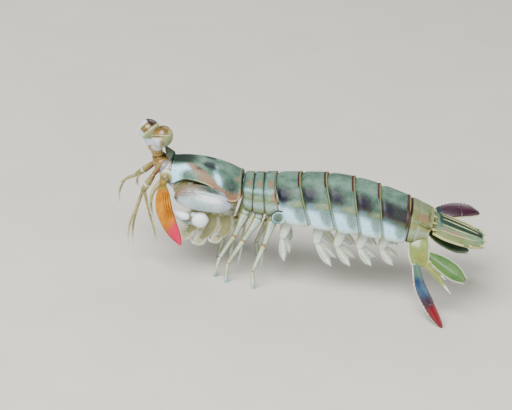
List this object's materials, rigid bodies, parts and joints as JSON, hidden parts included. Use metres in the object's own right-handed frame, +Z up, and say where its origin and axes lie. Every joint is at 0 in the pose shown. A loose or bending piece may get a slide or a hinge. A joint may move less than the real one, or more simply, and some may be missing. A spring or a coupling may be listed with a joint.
{
  "type": "mantis shrimp",
  "caption": "Mantis shrimp standing on its walking legs with raised stalked eyes, folded smashing claws, ringed abdomen, swimmerets and a spread tail fan.",
  "frame": {"origin": "on the ground under the middle of the whole animal", "axes": "-X towards the head, +X towards the tail, -Y the left side of the animal, +Z up"},
  "size_m": [0.0826, 0.0262, 0.0336],
  "materials": {
    "shell": "translucent horny shell, satin",
    "thorax_shell": "translucent horny shell, satin",
    "underside": "soft skin of the underside, damp",
    "head": "horny shell, satin",
    "eyestalk": "pale horny shell, satin",
    "cornea": "clear faceted eye surface, glossy",
    "feeler": "thin translucent shell, satin",
    "scale": "thin translucent blade, satin",
    "claw": "hard pale shell, glossy",
    "limb": "thin pale shell, satin",
    "swimmeret": "thin translucent blade, satin",
    "tail_plate": "hard shell, satin",
    "fan_base": "horny shell, satin",
    "fan_blade": "thin translucent blade, satin",
    "fan_paddle": "thin translucent blade, satin"
  },
  "bodies": {
    "root": {"abdomen_1": "shell", "abdomen_2": "shell", "abdomen_3": "shell", "abdomen_4": "shell", "abdomen_5": "shell", "abdomen_6": "shell", "antenna_left": "feeler", "antenna_right": "feeler", "antennal_scale_left": "scale", "antennal_scale_right": "scale", "antennule_left": "feeler", "antennule_right": "feeler", "carapace": "shell", "claw_club_left": "claw", "claw_club_right": "claw", "claw_hand_left": "claw", "claw_hand_right": "claw", "claw_merus_left": "claw", "claw_merus_right": "claw", "claw_wrist_left": "claw", "claw_wrist_right": "claw", "eye_left": "cornea", "eye_right": "cornea", "eyestalk_left": "eyestalk", "eyestalk_right": "eyestalk", "head": "head", "leg_1_left": "limb", "leg_1_right": "limb", "leg_2_left": "limb", "leg_2_right": "limb", "leg_3_left": "limb", "leg_3_right": "limb", "maxilliped_3_left": "limb", "maxilliped_3_right": "limb", "maxilliped_4_left": "limb", "maxilliped_4_right": "limb", "maxilliped_5_left": "limb", "maxilliped_5_right": "limb", "rostral_plate": "shell", "swimmeret_1_left": "swimmeret", "swimmeret_1_right": "swimmeret", "swimmeret_2_left": "swimmeret", "swimmeret_2_right": "swimmeret", "swimmeret_3_left": "swimmeret", "swimmeret_3_right": "swimmeret", "swimmeret_4_left": "swimmeret", "swimmeret_4_right": "swimmeret", "swimmeret_5_left": "swimmeret", "swimmeret_5_right": "swimmeret", "telson": "tail_plate", "thorax": "underside", "thorax_6": "thorax_shell", "thorax_7": "thorax_shell", "thorax_8": "thorax_shell", "uropod_base_left": "fan_base", "uropod_base_right": "fan_base", "uropod_blade_left": "fan_blade", "uropod_blade_right": "fan_blade", "uropod_paddle_left": "fan_paddle", "uropod_paddle_right": "fan_paddle"}
  },
  "joints": []
}
